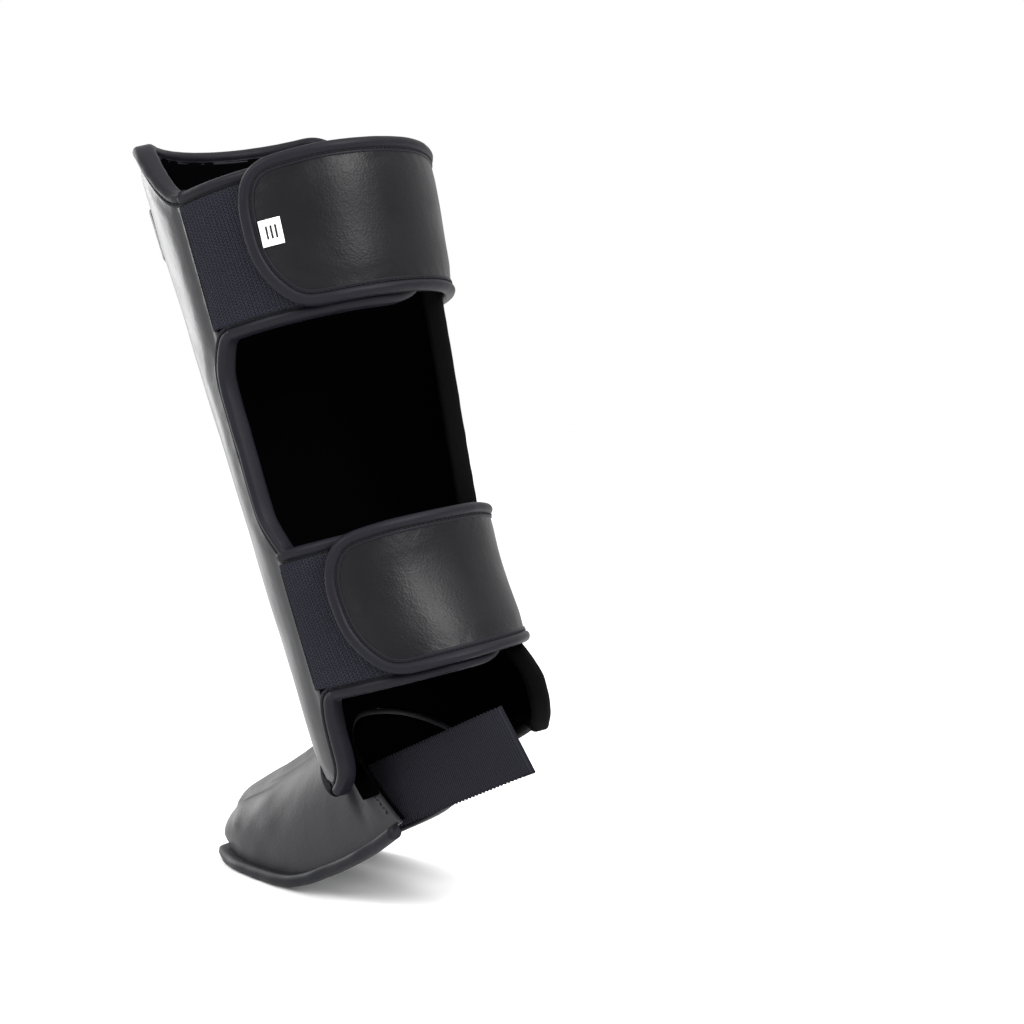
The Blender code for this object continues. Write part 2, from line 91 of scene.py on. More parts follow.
def leaning(x, y, z):
    """Millimetres in the world of points given from the axis's foot in the frame that leans sideways."""
    sin, cos = math.sin(TILT), math.cos(TILT)
    return FOOT + np.stack([x * cos + z * sin, y, z * cos - x * sin], -1)


def ring(theta, s, offset=0.0):
    """Points offset outwards from the shell's leather face, in metres."""
    theta, s, offset = np.broadcast_arrays(*(np.asarray(x, float) for x in (theta, s, offset)))
    t = s / SHELL_LENGTH
    width, front, rear = (mix(*pair, t) for pair in (HALF_WIDTH, FRONT_DEPTH, REAR_DEPTH))
    rear = rear + HEEL_WIDENING * smooth((130.0 - s) / 110.0)
    sin, cos = np.sin(np.radians(theta)), np.cos(np.radians(theta))
    depth = np.where(cos > 0.0, front, rear)
    length = np.hypot(depth * sin, width * cos)
    x = width * sin + depth * sin / length * offset
    y = -depth * cos - width * cos / length * offset
    opened = smooth((FLARE_START - s) / FLARE_LENGTH) * smooth((-90.0 - theta) / 34.0)
    x = x - FLARE_SIDE * opened
    y = y + FLARE_DEPTH * opened
    sin, cos = math.sin(LEAN), math.cos(LEAN)
    return leaning(x, y * cos - s * sin, y * sin + s * cos) / 1000.0


def near_edge(s):
    between = smooth((262.0 - s) / 22.0) * smooth((s - 138.0) / 22.0)
    return NEAR_SEAM - 1.0 - 9.5 * between - 2.0 * smooth((58.0 - s) / 20.0)


def far_edge(s):
    waist = smooth((250.0 - s) / 60.0) * smooth((s - 90.0) / 50.0)
    foot = smooth((78.0 - s) / 34.0)
    corner = np.maximum(0.0, (46.0 - s) / 38.0) ** 2.0
    return FAR_EDGE - FAR_WAIST * waist + FAR_FOOT * foot - FAR_CORNER * corner


def shell_top(theta):
    return CREST_TOP - CREST_DROP * smooth((np.abs(theta) - 52.0) / 42.0)


def shell_bottom(theta):
    return 12.0 + 46.0 * (1.0 - smooth(np.abs(theta) / 82.0)) + 9.0 * smooth((-90.0 - theta) / 30.0)


def pad_thickness(theta):
    return PAD_EDGE + (PAD_FRONT - PAD_EDGE) * (1.0 - smooth(np.abs(theta) / 85.0))


def strap_end(level, s):
    low, high, start, top, deep, power = STRAP_TIPS[level]
    below = deep * np.maximum(0.0, (low - s) / top) ** power
    return start + below + 8.0 * np.maximum(0.0, (s - high) / 24.0) ** 2.3


def radius_at(s):
    """Millimetres of surface per radian of theta."""
    return mix(*HALF_WIDTH, np.asarray(s, float) / SHELL_LENGTH)


# ---- mesh builders -------------------------------------------------------------------------------------
def make_mesh(name, points, faces, uv=None, material=None):
    mesh = bpy.data.meshes.new(name)
    mesh.from_pydata(np.asarray(points).reshape(-1, 3).tolist(), [], faces)
    if uv is not None:
        index = np.zeros(len(mesh.loops), np.int32)
        mesh.loops.foreach_get("vertex_index", index)
        layer = mesh.uv_layers.new(name="surface")
        layer.data.foreach_set("uv", np.asarray(uv, np.float32).reshape(-1, 2)[index].ravel())
    mesh.shade_smooth()
    obj = bpy.data.objects.new(name, mesh)
    bpy.context.scene.collection.objects.link(obj)
    if material:
        mesh.materials.append(material)
    return obj


def grid_faces(rows, columns, start=0, flip=False, wrap=False):
    i, j = np.meshgrid(np.arange(rows - 1), np.arange(columns if wrap else columns - 1), indexing="ij")
    after = (j + 1) % columns
    corners = [i * columns + j, (i + 1) * columns + j, (i + 1) * columns + after, i * columns + after]
    quads = np.stack(corners, -1).reshape(-1, 4) + start
    return (quads[:, ::-1] if flip else quads).tolist()


def surface_uv(points):
    """UV in millimetres along both directions of a grid, measured down its middle lines."""
    rows, columns = points.shape[:2]
    across = np.linalg.norm(np.diff(points[:, columns // 2], axis=0), axis=-1)
    along = np.linalg.norm(np.diff(points[rows // 2], axis=0), axis=-1)
    u = np.concatenate([[0.0], np.cumsum(across)]) * 1000.0
    v = np.concatenate([[0.0], np.cumsum(along)]) * 1000.0
    return np.stack(np.broadcast_arrays(u[:, None], v[None, :]), -1)


def slab(name, outer, inner, material, uv=None):
    """A closed sheet between two grids of points."""
    rows, columns = outer.shape[:2]
    count = rows * columns
    faces = grid_faces(rows, columns) + grid_faces(rows, columns, count, flip=True)
    rim = [i * columns for i in range(rows)] + [(rows - 1) * columns + j for j in range(1, columns)]
    rim += [i * columns + columns - 1 for i in range(rows - 2, -1, -1)] + list(range(columns - 2, 0, -1))
    faces += [[b, a, a + count, b + count] for a, b in zip(rim, rim[1:] + rim[:1])]
    uv = surface_uv(outer) if uv is None else uv
    return make_mesh(name, np.concatenate([outer.reshape(-1, 3), inner.reshape(-1, 3)]), faces,
                     np.concatenate([uv.reshape(-1, 2)] * 2), material)


def grid_uv(rows, columns):
    return np.meshgrid(np.linspace(0.0, 1.0, rows), np.linspace(0.0, 1.0, columns), indexing="ij")


def ripple(a, b, seed, size):
    """Smooth uneven waves between about -1 and 1, for coordinates a and b in mm."""
    random = np.random.default_rng(seed)
    total = 0.0
    for _ in range(7):
        turn, phase = random.uniform(0, math.pi), random.uniform(0, 6.28)
        pitch = size * random.uniform(0.6, 1.6)
        total = total + np.sin((a * math.cos(turn) + b * math.sin(turn)) * 2.0 * math.pi / pitch + phase)
    return total / 3.5


def fold(a, b, start, end, width, height):
    """A soft ridge (or, with a negative height, a crease) along a segment, fading at its ends."""
    (ax, ay), (bx, by) = start, end
    length = math.hypot(bx - ax, by - ay)
    along = ((a - ax) * (bx - ax) + (b - ay) * (by - ay)) / length ** 2
    side = ((a - ax) * (by - ay) - (b - ay) * (bx - ax)) / length
    fade = smooth(along / 0.3) * smooth((1.0 - along) / 0.3)
    return height * fade * np.exp(-(side / width) ** 2)


# ---- edge bindings and stitches --------------------------------------------------------------------------
# The half of a binding on the panel's outer face: (mm past the panel's edge, mm above its face).
BINDING_HALF = np.array([
    (-1.5, -0.5), (-1.4, 0.35), (-0.9, 0.62), (-0.2, 0.28), (0.3, 0.05), (0.9, 0.12), (1.4, 0.75),
    (2.1, 1.3), (3.2, 1.68), (4.4, 1.6), (5.6, 1.0), (6.5, 0.0), (6.95, -1.3),
])
STITCH_LINE = (0.3, 0.42)             # where the stitches lie, measured as in BINDING_HALF
EDGE_STEP = 1.5                       # mm between the points of an edge
THREAD_WIDTH = 0.00085                # metres


def even(points, step):
    """Points along a polyline, about step apart."""
    lengths = np.concatenate([[0.0], np.cumsum(np.linalg.norm(np.diff(points, axis=0), axis=1))])
    at = np.linspace(0.0, lengths[-1], max(2, int(round(lengths[-1] / step)) + 1))
    return np.stack([np.interp(at, lengths, points[:, k]) for k in range(points.shape[1])], -1)


def soften(points, times):
    """Rounds a polyline's corners, keeping its ends."""
    for _ in range(times):
        points[1:-1] = (points[:-2] + 2.0 * points[1:-1] + points[2:]) / 4.0
    return points


class Edge:
    """A panel's edge as (theta, s) points. The panel is on its left and the open side on its right."""

    def __init__(self, path, corner=0):
        path = np.asarray(path, float)
        self.scale = float(radius_at(path[:, 1].mean()))
        flat = np.stack([np.radians(path[:, 0]) * self.scale, path[:, 1]], -1)
        self.flat = soften(even(flat, EDGE_STEP), corner)
        along = np.gradient(self.flat, axis=0)
        along /= np.linalg.norm(along, axis=1)[:, None]
        self.right = np.stack([along[:, 1], -along[:, 0]], -1)
        self.count = len(self.flat)

    def at(self, distance, offset):
        """Points this far past the edge; distance may hold one value for each column."""
        moved = self.flat[:, None] + self.right[:, None] * np.reshape(distance, (1, -1, 1))
        return ring(np.degrees(moved[..., 0] / self.scale), moved[..., 1], offset)

    def theta(self):
        return np.degrees(self.flat[:, 0] / self.scale)


def capped_tube(name, points, material, uv):
    rows, columns = points.shape[:2]
    faces = grid_faces(rows, columns, wrap=True)
    faces += [list(range(columns)), list(range(rows * columns - 1, (rows - 1) * columns - 1, -1))]
    return make_mesh(name, points, faces, uv, material)


def binding(name, edge, face, thickness, reach, seed=1, material="binding"):
    """A folded strip over a panel's edge. face is the offset of the panel's outer face."""
    shift = reach - STRAP_REACH
    far = BINDING_HALF[:, 0] + shift
    up = BINDING_HALF[:, 1]
    thick = np.broadcast_to(thickness, edge.count)[:, None]
    length = np.arange(edge.count)[:, None] * EDGE_STEP
    roll = smooth((BINDING_HALF[:, 0] - 0.8) / 1.5)
    uneven = 0.13 * roll * ripple(length, BINDING_HALF[:, 0] * 2.0, seed, 16.0)
    outer = edge.at(far, face + up + uneven)
    inner = edge.at(far[::-1], face - thick - (up + uneven)[:, ::-1])
    points = np.concatenate([outer, inner], 1)
    around = np.concatenate([[0.0], np.cumsum(np.hypot(*np.diff(np.concatenate([
        np.stack([far, up]), np.stack([far[::-1], -PAD_EDGE - up[::-1]])], 1), axis=1)))])
    uv = np.stack(np.broadcast_arrays(length, around[None]), -1)
    return capped_tube(name, points[:, ::-1], MATERIALS[material], uv[:, ::-1])


def dashes(name, centres, along, up, length, width, material):
    """Short raised threads, one for each centre, in metres."""
    across = np.cross(up, along)
    stations = ((-1.0, 0.25), (-0.8, 0.8), (0.0, 1.0), (0.8, 0.8), (1.0, 0.25))
    angles = np.arange(6) * math.pi / 3.0
    rings = []
    for x, size in stations:
        middle = centres + along * (x * length / 2.0)
        for angle in angles:
            spoke = across * math.cos(angle) + up * math.sin(angle) * 0.8
            rings.append(middle + spoke * (size * width / 2.0))
    points = np.stack(rings, 1)
    one = grid_faces(5, 6, wrap=True) + [[5, 4, 3, 2, 1, 0], [24, 25, 26, 27, 28, 29]]
    faces = [[k + 30 * n for k in face] for n in range(len(centres)) for face in one]
    return make_mesh(name, points, faces, None, material)


def stitching(name, edge, face, reach, pitch=4.3, length=2.9):
    """A row of stitches along a binding's groove."""
    distance, height = STITCH_LINE[0] + reach - STRAP_REACH, face + STITCH_LINE[1]
    line, above = edge.at([distance], height)[:, 0], edge.at([distance], height + 1.0)[:, 0]
    both = even(np.concatenate([line, above], 1) * 1000.0, pitch)[1:-1] / 1000.0
    along = np.gradient(both[:, :3], axis=0)
    along /= np.linalg.norm(along, axis=1)[:, None]
    up = both[:, 3:] - both[:, :3]
    up -= along * (up * along).sum(1)[:, None]
    up /= np.linalg.norm(up, axis=1)[:, None]
    return dashes(name, both[:, :3], along, up, length / 1000.0, THREAD_WIDTH, MATERIALS["thread"])


# ---- materials -------------------------------------------------------------------------------------------
MATERIALS = {}
KNIT_COLUMN, KNIT_ROW = 2.2, 1.7      # mm
RIB_PITCH, CROSS_PITCH = 1.0, 1.5


class Paint:
    """A Principled material whose textures read the pieces' UVs, which are in millimetres."""

    def __init__(self, name, colour, roughness, specular=0.5):
        self.material = bpy.data.materials.new(name)
        self.material.use_nodes = True
        self.tree = self.material.node_tree
        self.shader = self.tree.nodes["Principled BSDF"]
        self.shader.inputs["Base Color"].default_value = (*colour, 1.0)
        self.shader.inputs["Roughness"].default_value = roughness
        self.shader.inputs["Specular IOR Level"].default_value = specular
        self.uv = self.tree.nodes.new("ShaderNodeTexCoord").outputs["UV"]
        MATERIALS[name] = self.material

    def put(self, socket, value):
        if isinstance(value, bpy.types.NodeSocket):
            self.tree.links.new(value, socket)
        else:
            socket.default_value = value

    def math(self, operation, *values):
        node = self.tree.nodes.new("ShaderNodeMath")
        node.operation = operation
        for socket, value in zip(node.inputs, values):
            self.put(socket, value)
        return node.outputs[0]

    def noise(self, scale, detail=3.0):
        node = self.tree.nodes.new("ShaderNodeTexNoise")
        self.put(node.inputs["Vector"], self.uv)
        node.inputs["Scale"].default_value = scale
        node.inputs["Detail"].default_value = detail
        return node.outputs["Fac"]

    def cells(self, scale):
        node = self.tree.nodes.new("ShaderNodeTexVoronoi")
        node.feature = "SMOOTH_F1"
        self.put(node.inputs["Vector"], self.uv)
        node.inputs["Scale"].default_value = scale
        return node.outputs["Distance"]

    def axes(self):
        node = self.tree.nodes.new("ShaderNodeSeparateXYZ")
        self.put(node.inputs[0], self.uv)
        return node.outputs[0], node.outputs[1]

    def span(self, value, low, high):
        node = self.tree.nodes.new("ShaderNodeMapRange")
        for socket, number in zip(node.inputs[1:5], (0.3, 0.7, low, high)):
            socket.default_value = number
        self.put(node.inputs[0], value)
        return node.outputs[0]

    def blend(self, factor, dark, light):
        node = self.tree.nodes.new("ShaderNodeMix")
        node.data_type = "RGBA"
        self.put(node.inputs[0], factor)
        self.put(node.inputs[6], (*dark, 1.0))
        self.put(node.inputs[7], (*light, 1.0))
        self.put(self.shader.inputs["Base Color"], node.outputs[2])

    def bump(self, height, distance, strength, below=None):
        node = self.tree.nodes.new("ShaderNodeBump")
        node.inputs["Distance"].default_value = distance
        node.inputs["Strength"].default_value = strength
        self.put(node.inputs["Height"], height)
        if below:
            self.put(node.inputs["Normal"], below)
        self.put(self.shader.inputs["Normal"], node.outputs[0])
        return node.outputs[0]


def leather(name, colour, roughness, grain=1.0, specular=0.5):
    paint = Paint(name, colour, roughness, specular)
    clouds = paint.noise(0.035, 3.0)
    paint.put(paint.shader.inputs["Roughness"], paint.span(clouds, roughness - 0.05, roughness + 0.06))
    paint.blend(clouds, tuple(c * 0.8 for c in colour), tuple(c * 1.25 for c in colour))
    waves = paint.bump(paint.noise(0.12, 2.0), 0.0006, 0.25)
    pores = paint.math("ADD", paint.cells(0.85), paint.math("MULTIPLY", paint.noise(2.6, 2.0), 0.35))
    paint.bump(pores, 0.0002, 0.45 * grain, waves)


def knit():
    """Loop fabric: columns of slanted loops whose slant alternates."""
    paint = Paint("loop_knit", (0.006, 0.007, 0.012), 0.95, 0.04)
    x, y = paint.axes()
    column = paint.math("DIVIDE", x, KNIT_COLUMN)
    place = paint.math("FRACT", column)
    slant = paint.math("PINGPONG", column, 1.0)
    phase = paint.math("ADD", paint.math("DIVIDE", y, KNIT_ROW), paint.math("MULTIPLY", slant, 1.1))
    fuzz = paint.noise(1.1, 2.0)
    phase = paint.math("ADD", phase, paint.math("MULTIPLY", fuzz, 0.5))
    bars = paint.math("PINGPONG", phase, 0.5)
    middle = paint.math("SUBTRACT", 1.0, paint.math("POWER", paint.math("ABSOLUTE", paint.math(
        "SUBTRACT", paint.math("MULTIPLY", place, 2.0), 1.0)), 4.0))
    height = paint.math("MULTIPLY", paint.math("MULTIPLY", bars, 2.0), middle)
    height = paint.math("ADD", height, paint.math("MULTIPLY", fuzz, 0.5))
    paint.bump(height, 0.0007, 1.0)
    # The colour follows the loops' height: painted shade darkens the hollows between the loops, and the fuzz
    # noise adds random tone.
    paint.blend(height, (0.0008, 0.0008, 0.0014), (0.028, 0.028, 0.038))


def elastic():
    """Woven elastic: close ribs across the band, crossed by fine threads."""
    paint = Paint("elastic_webbing", (0.010, 0.010, 0.013), 0.85, 0.05)
    x, y = paint.axes()
    ribs = paint.math("PINGPONG", paint.math("DIVIDE", x, RIB_PITCH), 0.5)
    threads = paint.math("PINGPONG", paint.math("ADD", paint.math("DIVIDE", y, CROSS_PITCH), paint.math(
        "MULTIPLY", paint.math("FLOOR", paint.math("DIVIDE", x, RIB_PITCH)), 0.5)), 0.5)
    height = paint.math("ADD", paint.math("MULTIPLY", ribs, 1.6), paint.math("MULTIPLY", threads, 0.7))
    height = paint.math("ADD", height, paint.math("MULTIPLY", paint.noise(1.4, 3.0), 0.5))
    paint.bump(height, 0.0004, 0.8)
    # The colour follows the weave's height: painted shade darkens the grooves between the ribs and threads,
    # and the noise adds random tone.
    paint.blend(paint.math("MULTIPLY", height, 0.6), (0.002, 0.002, 0.003), (0.020, 0.020, 0.026))


def fabric(name, colour, specular, scale, strength):
    paint = Paint(name, colour, 0.95, specular)
    weave = paint.noise(scale, 4.0)
    paint.blend(weave, tuple(c * 0.7 for c in colour), tuple(c * 1.3 for c in colour))
    paint.bump(weave, 0.0003, strength)


leather("shell_leather", (0.008, 0.008, 0.010), 0.36, 1.0, 0.55)
leather("strap_leather", (0.003, 0.003, 0.004), 0.38, 1.0, 0.16)
leather("instep_leather", (0.016, 0.016, 0.018), 0.43, 1.0, 0.15)
leather("binding", (0.006, 0.006, 0.009), 0.48, 0.5, 0.11)
# A darker, duller copy of the binding leather: painted shade for the bindings along the shin's bottom and far
# edges.
leather("shade_painted_binding", (0.001, 0.001, 0.0012), 0.70, 0.5, 0.04)
fabric("lining", (0.0008, 0.0008, 0.0010), 0.0, 0.8, 0.3)
fabric("thread", (0.004, 0.004, 0.005), 0.25, 3.0, 0.3)
fabric("label", (0.86, 0.86, 0.85), 0.3, 2.2, 0.2)
fabric("mark", (0.01, 0.01, 0.012), 0.2, 3.0, 0.2)
fabric("hook", (0.008, 0.008, 0.009), 0.2, 1.6, 0.9)
knit()
elastic()


# ---- camera and light --------------------------------------------------------------------------------------
TARGET = Vector(FOOT + (26.31, -44.20, 149.91)) / 1000.0
AZIMUTH, ELEVATION, DISTANCE, LENS = 141.6, 2.5, 1.143, 70.5
ASIDE, DOWN = 4.85, 0.11           # degrees the camera looks to the right of the target and below it


def away_from_target(azimuth, elevation):
    """Unit vector from the target towards something at this azimuth and elevation, in degrees."""
    a, e = math.radians(azimuth), math.radians(elevation)
    return Vector((math.sin(a) * math.cos(e), -math.cos(a) * math.cos(e), math.sin(e)))


def add_camera():
    back = away_from_target(AZIMUTH, ELEVATION)
    data = bpy.data.cameras.new("camera")
    data.lens, data.sensor_width = LENS, 36.0
    camera = bpy.data.objects.new("camera", data)
    bpy.context.scene.collection.objects.link(camera)
    facing = (-back).to_track_quat("-Z", "Y").to_matrix()
    camera.matrix_world = Matrix.Translation(TARGET + back * DISTANCE) @ (
        facing @ Matrix.Rotation(math.radians(-ASIDE), 3, "Y") @ Matrix.Rotation(math.radians(-DOWN), 3, "X")
    ).to_4x4()
    bpy.context.scene.camera = camera


def add_area(name, azimuth, elevation, distance, size, power):
    away = away_from_target(azimuth, elevation)
    data = bpy.data.lights.new(name, "AREA")
    data.shape, data.size, data.size_y, data.energy = "RECTANGLE", size[0], size[1], power
    lamp = bpy.data.objects.new(name, data)
    bpy.context.scene.collection.objects.link(lamp)
    lamp.location = TARGET + away * distance
    lamp.rotation_euler = (-away).to_track_quat("-Z", "Y").to_euler()


def add_stage():
    world = bpy.data.worlds.new("studio")
    world.use_nodes = True
    world.node_tree.nodes["Background"].inputs["Color"].default_value = (1.0, 1.0, 1.0, 1.0)
    world.node_tree.nodes["Background"].inputs["Strength"].default_value = 1.0
    bpy.context.scene.world = world
    bpy.context.scene.view_settings.view_transform = "Standard"
    sun = bpy.data.lights.new("overhead", "SUN")
    sun.energy, sun.angle = 1.2, math.radians(70.0)
    lamp = bpy.data.objects.new("overhead", sun)
    bpy.context.scene.collection.objects.link(lamp)
    lamp.rotation_euler = (math.radians(-20.0), math.radians(-8.0), 0.0)
    add_area("right_softbox", 188.0, 36.0, 1.5, (0.35, 0.9), 20.0)
    add_area("front_softbox", 8.0, 14.0, 1.6, (0.9, 1.3), 17.0)
    add_area("left_softbox", 95.0, 35.0, 1.7, (0.7, 1.0), 20.0)
    paint = Paint("floor", (0.9, 0.9, 0.9), 0.9, 0.1)
    paint.blend(paint.noise(0.5, 2.0), (0.895, 0.895, 0.895), (0.91, 0.91, 0.91))
    side = 30.0
    floor = make_mesh("floor", [(-side, -side, 0), (side, -side, 0), (side, side, 0), (-side, side, 0)],
                      [[0, 1, 2, 3]], [(0, 0), (side, 0), (side, side), (0, side)], paint.material)


add_camera()
add_stage()


# ---- shin pad ----------------------------------------------------------------------------------------------
def shell_grid(rows, columns, grow):
    """(theta, s) over the shin pad, grown this many mm past its edges on every side."""
    u, v = grid_uv(rows, columns)
    s = 20.0 + (CREST_TOP - 42.0) * v
    turn = math.degrees(grow / 70.0)
    theta = mix(-far_edge(s) - turn, near_edge(s) + turn, u)
    s = mix(shell_bottom(theta) - grow, shell_top(theta) + grow, v)
    return mix(-far_edge(s) - turn, near_edge(s) + turn, u), s, u, v


def build_shin():
    theta, s, u, v = shell_grid(170, 150, 2.4)
    length = np.radians(theta) * radius_at(s)
    rim = np.minimum(np.minimum(u, 1.0 - u) * 230.0, np.minimum(v, 1.0 - v) * 350.0)
    puff = 1.5 * smooth((rim - 2.0) / 12.0) - 0.4
    uneven = 0.35 * ripple(length, s, 3, 90.0) + 0.12 * ripple(length, s, 4, 28.0)
    pucker = 0.22 * np.exp(-rim / 7.0) * ripple(length, s, 5, 9.0)
    seam = -0.9 * np.exp(-((theta - NEAR_SEAM + 3.0) / 1.6) ** 2)
    outer = ring(theta, s, puff + uneven * smooth(rim / 15.0) + pucker + seam)
    cover = slab("shin_leather", outer, ring(theta, s, -PAD_EDGE / 2.0), MATERIALS["shell_leather"])
    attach(cover, "shin")
    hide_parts("shin_cover", "shin_foam_core")

    theta, s, u, v = shell_grid(110, 100, 2.0)
    length = np.radians(theta) * radius_at(s)
    crease = 0.8 * ripple(length * 2.6, s * 0.25, 8, 26.0) * smooth((s - 250.0) / 90.0)
    inner = ring(theta, s, -pad_thickness(theta) - 0.5 + crease)
    lining = slab("shin_inner_lining", ring(theta, s, -PAD_EDGE / 2.0), inner, MATERIALS["lining"])
    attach(lining, "shin")
    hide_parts("shin_lining")

    top = np.linspace(NEAR_SEAM + 3.0, -far_edge(340.0) - 1.0, 90)
    bottom = np.linspace(-far_edge(14.0), near_edge(14.0) - 9.0, 70)
    near_corner = np.linspace(near_edge(14.0) - 8.0, near_edge(14.0) - 1.0, 8)
    far = np.linspace(336.0, 16.0, 90)
    near = np.linspace(128.0, 270.0, 90)
    window = [(BODY_START, WINGS["lower"][1]), (NEAR_SEAM + 2.0, WINGS["lower"][1])]
    window += [(near_edge(x), x) for x in near if 140.0 < x < 258.0]
    window += [(NEAR_SEAM + 2.0, WINGS["upper"][0]), (BODY_START, WINGS["upper"][0])]
    leg = [(x, shell_bottom(x)) for x in near_corner]
    leg += [(near_edge(x), x) for x in np.linspace(15.0, 54.0, 20)]
    leg += [(NEAR_SEAM + 2.0, WINGS["lower"][0]), (BODY_START, WINGS["lower"][0])]
    edges = {
        "shin_top_binding": ([(x, shell_top(x)) for x in top], 4),
        "shin_bottom_binding": ([(x, shell_bottom(x)) for x in bottom], 4),
        "shin_far_binding": ([(-far_edge(x), x) for x in far], 4),
        "shin_near_binding_middle": (window, 40),
        "shin_near_binding_lower": (leg, 40),
    }
    for name, (path, corner) in edges.items():
        edge = Edge(path, corner)
        # The bottom and far bindings take the darker copy of the binding leather, which is painted shade.
        in_painted_shade = name in ("shin_bottom_binding", "shin_far_binding")
        strip = binding(name + "_folded", edge, 0.0, pad_thickness(edge.theta()), SHELL_REACH, len(name),
                        "shade_painted_binding" if in_painted_shade else "binding")
        sewn = stitching(name + "_stitches", edge, 0.0, SHELL_REACH)
        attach(strip, "shin")
        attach(sewn, "shin")
        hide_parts(name)

    u, v = grid_uv(60, 40)
    across, up = 2.0 * u - 1.0, 2.0 * v - 1.0
    tall = np.sqrt(1.0 - 0.75 * across ** 2)
    rim = np.minimum(1.0 - np.abs(across), (1.0 - np.abs(up)) * 0.55)
    theta, s = 54.0 * across, 333.0 + 27.0 * up * tall
    badge = slab("front_patch_leather", ring(theta, s, 1.4 + 2.4 * smooth(rim / 0.16) ** 0.5),
                 ring(theta, s, 0.2), MATERIALS["strap_leather"])
    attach(badge, "shin")
    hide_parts("front_raised_patch")

    for level, (low, high) in STRAPS.items():
        u, v = grid_uv(24, 60)
        theta, s = mix(-113.0, -95.0, u), mix(low, high, v)
        rim = np.minimum(np.minimum(u, 1.0 - u) * 25.0, np.minimum(v, 1.0 - v) * 70.0)
        pad = slab(level + "_strap_root", ring(theta, s, 2.6 + 0.9 * smooth(rim / 3.0)), ring(theta, s, 0.2),
                   MATERIALS["strap_leather"])
        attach(pad, "shin")
        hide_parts(level + "_strap_anchor")
        corners = [(-111.0, low + 3.0), (-97.0, low + 3.0), (-97.0, high - 3.0), (-111.0, high - 3.0)]
        edge = Edge(corners + corners[:1])
        sewn = stitching(level + "_strap_root_stitches", edge, 3.2, STRAP_REACH - STITCH_LINE[0])
        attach(sewn, "shin")


# ---- wings and straps --------------------------------------------------------------------------------------
def bend_from_shin(obj):
    """Bakes the piece's placement into its mesh; the piece is not bent."""
    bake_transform(obj)


def wing_edge(low, high):
    """The wing's bound edge, from the shin along its bottom, round its tip and back along its top."""
    first, last = BODY_START, WING_TIP - TIP_LENGTH
    turn = np.radians(np.linspace(-88.0, 88.0, 40))
    height = np.copysign(np.abs(np.sin(turn)) ** TIP_POWER, np.sin(turn))
    tip = last + TIP_LENGTH * np.cos(turn) ** TIP_POWER
    middle, half = (low + high) / 2.0, (high - low) / 2.0
    path = [(x, low) for x in np.linspace(first, last, 30)]
    path += [(x, middle + half * y) for x, y in zip(tip, height)]
    return path + [(x, high) for x in np.linspace(last, NEAR_SEAM + 1.0, 30)]


def build_wing(level):
    low, high = WINGS[level]
    body = level + "_wing"
    u, v = grid_uv(120, 50)
    theta = mix(NEAR_SEAM + 0.2, WING_TIP + 1.0, u)
    over = np.clip((theta - WING_TIP + TIP_LENGTH) / TIP_LENGTH, 0.0, 1.0)
    half = (1.0 - (0.985 * over) ** (2.0 / TIP_POWER)) ** (TIP_POWER / 2.0)
    s = (low + high) / 2.0 + ((high - low) / 2.0 + 1.6) * half * (2.0 * v - 1.0)
    panel = slab(body + "_padding", ring(theta, s, 0.0), ring(theta, s, -PAD_EDGE), MATERIALS["lining"])
    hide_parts(body + "_panel")

    u, v = grid_uv(150, 60)
    theta, s = mix(NEAR_SEAM - 0.2, 187.0, u), mix(low - 1.2, high + 1.2, v)
    length = np.radians(theta) * radius_at(s)
    tuck = 1.1 * np.exp(-(theta - NEAR_SEAM + 0.2) / 1.3)
    height = 1.5 - tuck + 0.25 * ripple(length, s, 11, 40.0) * smooth(u * 12.0)
    uv = np.stack([length, np.broadcast_to(s, length.shape)], -1)
    loop = slab(level + "_loop_fabric", ring(theta, s, height), ring(theta, s, 0.1),
                MATERIALS["loop_knit"], uv)
    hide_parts(level + "_loop_patch")

    edge = Edge(wing_edge(low, high), 8)
    strip = binding(body + "_binding_folded", edge, 0.0, PAD_EDGE, SHELL_REACH, 21)
    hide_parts(body + "_binding")
    sewn = stitching(body + "_binding_stitches", edge, 0.0, SHELL_REACH)

    seam = Edge([(NEAR_SEAM + 0.9, x) for x in np.linspace(low + 1.0, high - 1.0, 30)])
    row = stitching(level + "_loop_seam_stitches", seam, 0.75, STRAP_REACH - STITCH_LINE[0], 3.2, 2.3)
    for obj in (panel, loop, strip, sewn, row):
        bend_from_shin(obj)


def strap_height(level, theta, v):
    low, high = STRAPS[level]
    rise = 2.0 * smooth((theta - 130.0) / 30.0) * (1.0 - smooth((theta - 200.0) / 40.0))
    return mix(low, high + rise, v)


